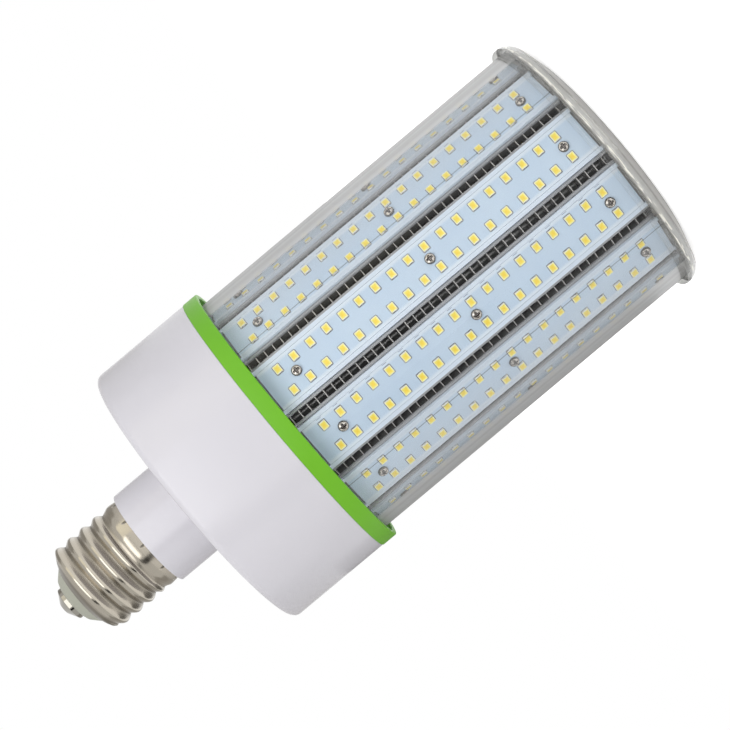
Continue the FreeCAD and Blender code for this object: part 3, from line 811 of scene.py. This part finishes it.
def grown(name, base, tree_and_ids, values):
    """A plain mesh piece, grown from a base object by a geometry node tree with the given input values."""
    tree, ids = tree_and_ids
    modifier = base.modifiers.new("grow", "NODES")
    modifier.node_group = tree
    for label, value in values.items():
        modifier[ids[label]] = value
    base.update_tag()
    depsgraph = bpy.context.evaluated_depsgraph_get()
    mesh = bpy.data.meshes.new_from_object(base.evaluated_get(depsgraph), depsgraph=depsgraph)
    base.modifiers.remove(modifier)
    mesh.name = name
    bpy.data.objects.remove(base)
    return linked_object(name, mesh)


def ring_of(name, item, radius, first_height, around=PANELS, along=1, across=1,
            first_angle=0.0, pitch=0.0, spacing=0.0):
    """A piece made of copies of an item, which is used up."""
    base = linked_object(name + "_base", bpy.data.meshes.new(name + "_base"))
    piece = grown(name, base, RING_ARRAY, {
        "Item": item, "Finish": item.data.materials[0], "Around": around, "Along": along, "Across": across,
        "First angle": first_angle, "Radius": radius, "First height": first_height, "Pitch": pitch,
        "Spread": spacing,
    })
    bpy.data.objects.remove(item)
    return piece


# Turned pieces

def make_turned(name, corners, material, slot, node, around=AROUND):
    """Turns an outline with its rounded corners about the lamp's axis, in place of a node."""
    place_piece(finish_mesh(name, turn(rounded(corners), around), material), slot, node)


def make_end_cap(material):
    """Clear cap with a sloping rim, a rounded lip round the tube and four keys inside."""
    rim_inside = CAP_RADIUS - CAP_RIM_WIDTH
    rim_floor = CAP_WALL + CAP_RIM_THICKENING
    shape = turn(rounded([
        (0.0, 0.0),
        (CAP_RADIUS - CAP_FACE_INSET, 0.0, 14.0 * MM),
        (CAP_RADIUS, CAP_RIM_RISE, 5.6 * MM),
        (CAP_RADIUS, cap_high.z, 1.9 * MM),
        (TUBE_RADIUS, cap_high.z),
        (TUBE_RADIUS, tube_low.z),
        (TUBE_BORE, tube_low.z),
        (TUBE_BORE, rim_floor),
        (rim_inside, rim_floor),
        (rim_inside, CAP_WALL, 0.8 * MM),
        (0.0, CAP_WALL),
    ]))
    for i in range(CAP_KEYS):
        add_block(
            shape, (TUBE_BORE - CAP_KEY_DEPTH, -CAP_KEY_HALF_WIDTH, rim_floor),
            (TUBE_BORE, CAP_KEY_HALF_WIDTH, CAP_WALL + CAP_KEY_HEIGHT),
            turn_angle=math.radians(CAP_FIRST_KEY_ANGLE + 360 / CAP_KEYS * i), bevel=0.4 * MM,
        )
    place_piece(finish_mesh("end_cap_moulding", shape, material), "clear_cap", "end_cap")


def make_cover_tube(material):
    """Plain clear tube between the cap and the collar."""
    make_turned("clear_cover_tube", [
        (TUBE_BORE, tube_low.z), (TUBE_RADIUS, tube_low.z),
        (TUBE_RADIUS, tube_high.z), (TUBE_BORE, tube_high.z),
    ], material, "clear_tube", "cover_tube")


def make_collar(material):
    """Green band with softened edges and the recess that the tube stands in."""
    edge = 0.5 * MM
    recess = TUBE_RADIUS + 2.7 * MM
    land = TUBE_BORE - 4.6 * MM
    make_turned("collar_band", [
        (COLLAR_RADIUS, collar_low.z, edge),
        (COLLAR_RADIUS, collar_high.z, 0.2 * MM),
        (land, collar_high.z),
        (land, tube_high.z),
        (recess, tube_high.z, edge),
        (recess, collar_low.z, edge),
    ], material, "green_plastic", "collar_ring")


def make_drum(material):
    """White drum and neck in one moulding, with the sleeve that goes up into the shell."""
    wall = 2.5 * MM
    face = collar_high.z + 44.5 * MM
    neck = SHELL_CREST + 1.25 * MM
    sleeve = SHELL_ROOT - SHELL_WALL - 0.1 * MM
    bore = sleeve - 2.2 * MM
    make_turned("driver_drum", [
        (DRUM_RADIUS, collar_high.z, 0.3 * MM),
        (DRUM_RADIUS, face, 3.0 * MM),
        (neck, face, 1.0 * MM),
        (neck, shell_low.z, 0.35 * MM),
        (sleeve, shell_low.z),
        (sleeve, drum_high.z),
        (bore, drum_high.z),
        (bore, face - wall),
        (DRUM_RADIUS - wall, face - wall),
        (DRUM_RADIUS - wall, collar_high.z),
    ], material, "white_plastic", "driver_housing")


def shell_outline():
    """Outer and inner profile of the plain shell, with rows close enough together to carry the thread."""
    first_row = shell_low.z + FIRST_THREAD_ROW
    last_row = shell_low.z + LAST_THREAD_ROW
    row_step = (last_row - first_row) / THREAD_ROWS
    skirt = [(0.75, 0.0), (0.45, 2.2), (0.25, 4.2), (0.35, 5.0), (0.8, 6.0), (1.4, 7.2)]
    outer = [(SHELL_CREST - inset * MM, shell_low.z + height * MM) for inset, height in skirt]
    outer += [(SHELL_ROOT, first_row + row_step * i) for i in range(THREAD_ROWS + 1)]
    outer += [
        (SHELL_ROOT - 0.5 * MM, last_row + 0.7 * MM),
        (SHELL_ROOT - 1.6 * MM, last_row + 1.5 * MM),
        (SHELL_LIP_RADIUS + 0.6 * MM, shell_high.z - 0.35 * MM),
    ]
    lip = [(SHELL_LIP_RADIUS, shell_high.z), (SHELL_LIP_RADIUS, shell_high.z - SHELL_WALL)]
    inner = [(radius - SHELL_WALL, z) for radius, z in reversed(outer[:-1])]
    return outer + lip + inner


def make_screw_shell(material):
    """Rolled nickel shell with its knuckle thread, smooth skirt and turned-in lip."""
    base = finish_mesh("screw_shell_base", turn(shell_outline(), SHELL_AROUND), material, 60.0)
    piece = grown("screw_shell_rolled", base, thread_tree(), {
        "Finish": material, "Pitch": THREAD_PITCH, "Depth": THREAD_DEPTH,
        "Crest height": shell_low.z + FIRST_CREST, "Start": shell_low.z + THREAD_START,
        "End": shell_high.z - THREAD_END_BELOW_LIP, "Fade": THREAD_FADE,
    })
    place_piece(piece, "nickel_plate", "screw_shell")


def make_insulator(material):
    """Bowl of the base insulator, with its flange inside the shell's lip."""
    flange = SHELL_ROOT - SHELL_WALL
    flange_top = shell_high.z - 2.8 * MM - SHELL_WALL
    tip = SHELL_LIP_RADIUS - 5.7 * MM
    make_turned("insulator_bowl", [
        (RIVET_RADIUS, insulator_low.z),
        (flange, insulator_low.z),
        (flange, flange_top),
        (SHELL_LIP_RADIUS, shell_high.z - SHELL_WALL),
        (SHELL_LIP_RADIUS, shell_high.z, 0.4 * MM),
        (tip + 2.0 * MM, insulator_high.z - 0.8 * MM, 2.0 * MM),
        (tip, insulator_high.z),
        (RIVET_RADIUS, insulator_high.z),
    ], material, "insulator", "base_insulator")


def make_contact(material):
    """Pressed contact with a rim, a cone and a flat tip."""
    make_turned("contact_tip", [
        (0.0, contact_low.z),
        (RIVET_RADIUS, contact_low.z),
        (RIVET_RADIUS, insulator_high.z),
        (contact_high.x, insulator_high.z),
        (contact_high.x, insulator_high.z + 1.8 * MM, 0.4 * MM),
        (2.6 * MM, contact_high.z, 1.2 * MM),
        (0.0, contact_high.z),
    ], material, "contact_metal", "contact_button", CONTACT_AROUND)


# Items that repeat round the lamp, each facing +X

def package_ring(shape, scale, height):
    """The package's outline with its round corners, at a share of its size and a height over the board."""
    corner_steps = 3
    radius = LED_CORNER * scale
    ring = []
    for quarter, (side_y, side_z) in enumerate(((1, 1), (-1, 1), (-1, -1), (1, -1))):
        for step in range(corner_steps):
            angle = math.pi / 2 * (quarter + step / (corner_steps - 1))
            y = side_y * (LED_HALF_WIDTH * scale - radius) + radius * math.cos(angle)
            z = side_z * (LED_HALF_LENGTH * scale - radius) + radius * math.sin(angle)
            ring.append(shape.verts.new((height * MM, y, z)))
    return ring


def led_package_item(material):
    """One surface-mount package, with a UV map over its outline: 0 in the middle, 1 where the dark foot ends.
    """
    shape = bmesh.new()
    layer = shape.loops.layers.uv.new("package")
    scales_and_heights = [
        (LED_FOOT_SHARE, 0.02), (1.01, 0.05), (1.0, 0.50), (0.95, 0.68), (0.80, 0.68), (0.74, 0.62),
    ]
    rings = [package_ring(shape, scale, height) for scale, height in scales_and_heights]
    rings.append([shape.verts.new((0.64 * MM, 0, 0))])
    for lower, upper in zip(rings, rings[1:]):
        ring_faces(shape, lower, upper)
    shape.faces.new(list(reversed(rings[0])))
    for face in shape.faces:
        for loop in face.loops:
            _, y, z = loop.vert.co / LED_FOOT_SHARE
            loop[layer].uv = (y / LED_HALF_WIDTH, z / LED_HALF_LENGTH)
    return finish_mesh("led_package_item", shape, material, 40.0)


def cross_recess(y, z):
    """How deep a point of the screw's head lies in the cross: 0 on the head, 1 at the bottom."""
    arm = min(abs(y), abs(z)) / (0.17 * SCREW_RADIUS)
    reach = math.hypot(y, z) / SCREW_RADIUS
    return max(0.0, min(1.0, (1.35 - arm) / 0.7)) * max(0.0, min(1.0, (0.74 - reach) / 0.16))


def screw_surface(y, z):
    """Height of the screw's domed head over the board."""
    reach = math.hypot(y, z) / SCREW_RADIUS
    dome = SCREW_HEIGHT * (0.42 + 0.58 * math.sqrt(max(0.0, 1 - reach ** 3.2)))
    return dome - SCREW_RECESS_DEPTH * cross_recess(y, z)


def screw_head_item(material):
    """Pan head with a cross recess, and a UV map that holds how deep and how far out each point lies."""
    spokes = 40
    shares = [0.0, 0.14, 0.27, 0.39, 0.50, 0.60, 0.70, 0.80, 0.89, 0.96, 1.0]
    shape = bmesh.new()
    layer = shape.loops.layers.uv.new("head")
    rings = []
    for share in shares:
        ring = []
        for k in range(spokes if share else 1):
            angle = 2 * math.pi * k / spokes
            y = SCREW_RADIUS * share * math.cos(angle)
            z = SCREW_RADIUS * share * math.sin(angle)
            ring.append(shape.verts.new((screw_surface(y, z), y, z)))
        rings.append(ring)
    foot = [shape.verts.new((0, vert.co.y, vert.co.z)) for vert in rings[-1]]
    rings.append(foot)
    for inner, outer in zip(rings, rings[1:]):
        ring_faces(shape, inner, outer)
    shape.faces.new(foot)
    for face in shape.faces:
        for loop in face.loops:
            _, y, z = loop.vert.co
            loop[layer].uv = (cross_recess(y, z), math.hypot(y, z) / SCREW_RADIUS)
    return finish_mesh("screw_head_item", shape, material, 50.0)


def slot_half_width(radius):
    """Half of the slot between two bars, at a distance from the axis along the slot's middle."""
    half_step = math.pi / PANELS
    return radius * math.tan(half_step) - BAR_HALF_WIDTH / math.cos(half_step)


def fin_tab_item(material):
    """The tab of one fin that fills a slot from the fin's corner to just behind the bars' faces."""
    start = BAR_BACK / math.cos(math.pi / PANELS) - FIN_TAB_ROOT
    end = BOARD_FACE - FIN_TAB_INSET
    start_half = slot_half_width(start) - FIN_TAB_GAP
    end_half = slot_half_width(end) - FIN_TAB_GAP
    outline = [(start, -start_half), (end, -end_half), (end, end_half), (start, start_half)]
    shape = bmesh.new()
    low, high = (
        [shape.verts.new((x, y, side * FIN_TAB_THICKNESS / 2)) for x, y in outline] for side in (-1, 1)
    )
    shape.faces.new(low)
    shape.faces.new(high)
    ring_faces(shape, low, high)
    return finish_mesh("fin_tab_item", shape, material)


def side_lip_item(material):
    """The rounded lip along one side of a bar, set back from its face."""
    half_width = SIDE_LIP_WIDTH / 2
    half_length = (bar_high.z - bar_low.z) / 2
    shape = bmesh.new()
    add_block(
        shape, (-SIDE_LIP_DEPTH, -half_width, -half_length), (0.0, half_width, half_length),
        bevel=SIDE_LIP_ROUNDING,
    )
    return finish_mesh("side_lip_item", shape, material)


def dash_item(material):
    """A small dark dash beside a package."""
    shape = bmesh.new()
    add_block(
        shape, (0.0, DASH_OFFSET - DASH_HALF_WIDTH, -DASH_HALF_LENGTH),
        (DASH_THICKNESS, DASH_OFFSET + DASH_HALF_WIDTH, DASH_HALF_LENGTH),
    )
    return finish_mesh("dash_item", shape, material)


def make_packages():
    """Two rows of packages on every board."""
    leds = ring_of(
        "led_packages_mounted", led_package_item(led_package_material()), BOARD_FACE, FIRST_LED,
        along=LED_PAIRS, across=2, first_angle=panel_angle(0), pitch=LED_PITCH, spacing=LED_ROW_SPACING,
    )
    place_piece(leds, "led_package", *node_names("led_packages"))


def make_board_screws():
    """Screws down the middle of every board."""
    span = bar_high.z - LAST_SCREW_BELOW_BAR_END - FIRST_LED
    screws = ring_of(
        "board_pan_screws", screw_head_item(screw_material()), BOARD_FACE, FIRST_LED,
        along=SCREWS_PER_BOARD, first_angle=panel_angle(0), pitch=span / (SCREWS_PER_BOARD - 1),
    )
    place_piece(screws, "screw_steel", "board_screws")


def make_fin_tabs():
    """The fins' tabs in the slots, one row for every fin of the stack."""
    fin_count = round((fins_high.z - fins_low.z - FIN_THICKNESS) / FIN_PITCH) + 1
    # Painted shade: the tabs' metal is darkened for the shade in the slots.
    shaded_tab_metal = metal("shaded_fin_edge", (0.36, 0.355, 0.345), 0.45, 500.0)
    tabs = ring_of(
        "fin_tabs", fin_tab_item(shaded_tab_metal), 0.0, fins_low.z + FIN_THICKNESS / 2,
        along=fin_count, pitch=FIN_PITCH,
    )
    place_piece(tabs, "fin_aluminium")


def make_side_lips():
    """A lip on both sides of every bar."""
    # Painted shade: the lips are grey for the shade on the bars' rounded edges.
    satin = moulded_plastic("shaded_satin_lip", (0.36, 0.37, 0.385), 0.40, vary=0.05)
    lips = ring_of(
        "bar_side_lips", side_lip_item(satin), BOARD_FACE - SIDE_LIP_INSET, (bar_low.z + bar_high.z) / 2,
        across=2, first_angle=panel_angle(0), spacing=2 * BAR_HALF_WIDTH + SIDE_LIP_WIDTH,
    )
    place_piece(lips, "bar_aluminium")


def make_dashes():
    """The dashes beside the packages of every other board."""
    dark_dash = moulded_plastic("dark_dash", (0.17, 0.20, 0.32), 0.6)
    dashes = ring_of(
        "board_dashes", dash_item(dark_dash), BOARD_FACE, FIRST_LED, around=PANELS // 2, along=LED_PAIRS,
        first_angle=-panel_angle(0), pitch=LED_PITCH,
    )
    place_piece(dashes, "led_board")


# The studio

def seen_by_eye(tree):
    """1 for what the camera sees, straight or in a gloss or through clear plastic, and 0 for the light."""
    path = add(tree, "ShaderNodeLightPath").outputs
    either = math_node(tree, "MAXIMUM", path["Is Camera Ray"], path["Is Glossy Ray"])
    return math_node(tree, "MAXIMUM", either, path["Is Transmission Ray"])


def make_floor():
    """Pale floor that looks white to the camera and keeps the lamp's shadow."""
    material, tree = new_material("studio_floor")
    tint = ramp(tree, noise(tree, 3.0), [(0.3, 0.93), (0.7, 0.95)])
    matt = add(tree, "ShaderNodeBsdfDiffuse", Color=tint)
    light = add(tree, "ShaderNodeEmission", Color=WHITE, Strength=times(tree, seen_by_eye(tree), 0.76))
    finish_material(material, add(tree, "ShaderNodeAddShader", i0=matt.outputs[0], i1=light.outputs[0]))
    shape = bmesh.new()
    bmesh.ops.create_grid(shape, x_segments=1, y_segments=1, size=6.0)
    floor = finish_mesh("floor", shape, material)


def make_world():
    """White round the lamp for the eye and in its gloss, and an even soft light on its surfaces."""
    world = bpy.data.worlds.new("studio")
    bpy.context.scene.world = world
    world.use_nodes = True
    tree = world.node_tree
    tree.nodes.clear()
    soft = add(tree, "ShaderNodeBackground", Color=WHITE, Strength=0.62)
    white = add(tree, "ShaderNodeBackground", Color=WHITE, Strength=1.0)
    mixed = mix_shaders(tree, seen_by_eye(tree), soft, white)
    add(tree, "ShaderNodeOutputWorld", Surface=mixed.outputs[0])


def add_softbox(name, place, aim, width, height, power):
    """A soft rectangular lamp."""
    lamp = bpy.data.lights.new(name, "AREA")
    lamp.shape = "RECTANGLE"
    lamp.size = width
    lamp.size_y = height
    lamp.energy = power
    holder = linked_object(name, lamp)
    holder.location = place
    holder.rotation_euler = (Vector(aim) - Vector(place)).to_track_quat("-Z", "Y").to_euler()


def glowing_card_material(name, colour, low, high):
    """A card that glows evenly with faint clouding: painted light in place of a lit card."""
    material, tree = new_material(name)
    level = spread(tree, noise(tree, 2.0), low, high)
    return finish_material(material, add(tree, "ShaderNodeEmission", Color=(*colour, 1.0), Strength=level))


def add_card(name, place, width, height, material):
    """An upright card of the studio that faces the lamp and shows only as a reflection."""
    shape = bmesh.new()
    bmesh.ops.create_grid(shape, x_segments=1, y_segments=1, size=0.5)
    facing = Vector((-place[0], -place[1], 0.0)).to_track_quat("Z", "Y").to_matrix().to_4x4()
    size = Matrix.Diagonal((width, height, 1.0, 1.0))
    bmesh.ops.transform(shape, matrix=Matrix.Translation(place) @ facing @ size, verts=shape.verts)
    card = finish_mesh(name, shape, material)
    card.visible_camera = False
    card.visible_diffuse = False
    card.visible_shadow = False
    card.visible_transmission = False


def make_cards():
    """What the gloss mirrors: a dark edge on the right, and glowing cards that paint a warm reflection on the
    left and greys behind.
    """
    flag_cloth = moulded_plastic("flag_cloth", (0.03, 0.03, 0.03), 0.8)
    # Painted light: these cards glow, and show only in the gloss.
    cream = glowing_card_material("cream_glow_card", (1.0, 0.97, 0.87), 1.6, 1.9)
    grey = glowing_card_material("grey_card", (1.0, 0.97, 0.93), 0.50, 0.60)
    dark_grey = glowing_card_material("dark_card", (1.0, 0.97, 0.93), 0.20, 0.28)
    add_card("right_flag", (0.82, -0.57, 0.63), 0.26, 1.20, flag_cloth)
    add_card("left_reflector", (0.56, 0.84, 0.47), 0.62, 0.86, cream)
    add_card("right_grey_card", (-0.67, -0.80, 0.75), 1.30, 0.94, grey)
    add_card("left_grey_card", (-0.67, 0.80, 0.75), 1.20, 0.94, grey)
    add_card("right_low_card", (-0.17, -0.16, 0.10), 0.22, 0.20, dark_grey)


def make_camera():
    """The photograph's viewpoint, rolled about its own line of sight."""
    camera = bpy.data.cameras.new("photo_view")
    camera.lens = LENS
    camera.sensor_width = SENSOR
    camera.clip_start = 0.01
    camera.clip_end = 50.0
    holder = linked_object("photo_view", camera)
    forward = (Vector(CAMERA_AIM) - Vector(CAMERA_PLACE)).normalized()
    level = forward.to_track_quat("-Z", "Y")
    holder.rotation_mode = "QUATERNION"
    roll = Matrix.Rotation(math.radians(-CAMERA_ROLL), 4, "Z").to_quaternion()
    holder.rotation_quaternion = level @ roll
    holder.location = CAMERA_PLACE
    bpy.context.scene.camera = holder


bpy.context.scene.view_settings.view_transform = "Standard"

make_end_cap(clear_cap_material())
make_cover_tube(clear_tube_material())
make_collar(moulded_plastic(
    "green_collar_plastic", (0.16, 0.47, 0.020), 0.40, vary=0.02, grain_depth=0.004, shine=0.25,
))
make_drum(moulded_plastic(
    "white_plastic_shell", (0.665, 0.65, 0.69), 0.22, vary=0.015, grain=1400.0, grain_depth=0.002, shine=0.42,
))
make_screw_shell(nickel_material())
make_insulator(moulded_plastic("insulator_body", (0.38, 0.385, 0.315), 0.45, vary=0.06))
make_contact(metal("bright_contact", (0.30, 0.285, 0.25), 0.10, 300.0))
make_packages()
make_board_screws()
make_fin_tabs()
make_side_lips()
make_dashes()

dress(led_board_material(), *node_names("led_board"))
dress(bar_material(), *node_names("heat_sink_bar"))
# Painted shade: the fins are darkened for the shade deep between the bars.
dress(metal("shaded_fin_sheet", (0.24, 0.235, 0.23), 0.42, 500.0), "cooling_fins")
dress(metal("brushed_plate", (0.62, 0.63, 0.64), 0.38, 500.0), "end_plate", "base_plate")
dress(liner_material(), "core_liner")
dress(metal("zinc_bolt", (0.58, 0.58, 0.58), 0.35, 400.0), "tie_bolts", "driver_standoffs")
dress(moulded_plastic("green_laminate", (0.03, 0.14, 0.05), 0.4), "driver_board")
dress(moulded_plastic("dark_ferrite", (0.035, 0.033, 0.033), 0.6), "driver_transformer", "driver_choke")
dress(moulded_plastic("capacitor_sleeve", (0.012, 0.015, 0.025), 0.3), "driver_capacitors")
dress(moulded_plastic("lead_cover", (0.45, 0.02, 0.015), 0.45), "live_lead", "neutral_lead")

make_floor()
make_world()
add_softbox("key_softbox", (0.95, 0.15, 0.75), aim=(0.0, 0.0, 0.6), width=1.12, height=0.80, power=6.6)
make_cards()
make_camera()
